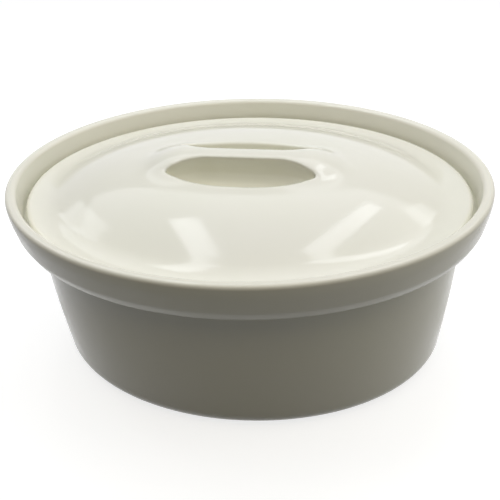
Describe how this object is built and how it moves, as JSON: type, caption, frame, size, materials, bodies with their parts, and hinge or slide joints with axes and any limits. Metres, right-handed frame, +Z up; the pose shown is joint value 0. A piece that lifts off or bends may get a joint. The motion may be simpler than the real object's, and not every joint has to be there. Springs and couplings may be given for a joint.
{
  "type": "oval casserole dish",
  "caption": "Oval glazed ceramic casserole dish with tapering sides, a stepped collar and a drop-in domed lid with a grip bar between scooped finger pockets.",
  "frame": {"origin": "on the table under the middle of the dish, at the plane of its foot", "axes": "+X along the length of the oval, +Y across it, +Z up out of the dish"},
  "size_m": [0.28, 0.228, 0.1265],
  "materials": {
    "dish_glaze": "smooth gloss glaze, ivory white",
    "lid_glaze": "smooth gloss glaze, ivory white"
  },
  "bodies": {
    "dish": {"dish": "dish_glaze"},
    "lid": {"lid": "lid_glaze"}
  },
  "joints": [
    {"name": "lid_lift", "type": "slide", "parent": "dish", "child": "lid", "axis": [0, 0, 1], "range_m": [0, 0.12]}
  ]
}
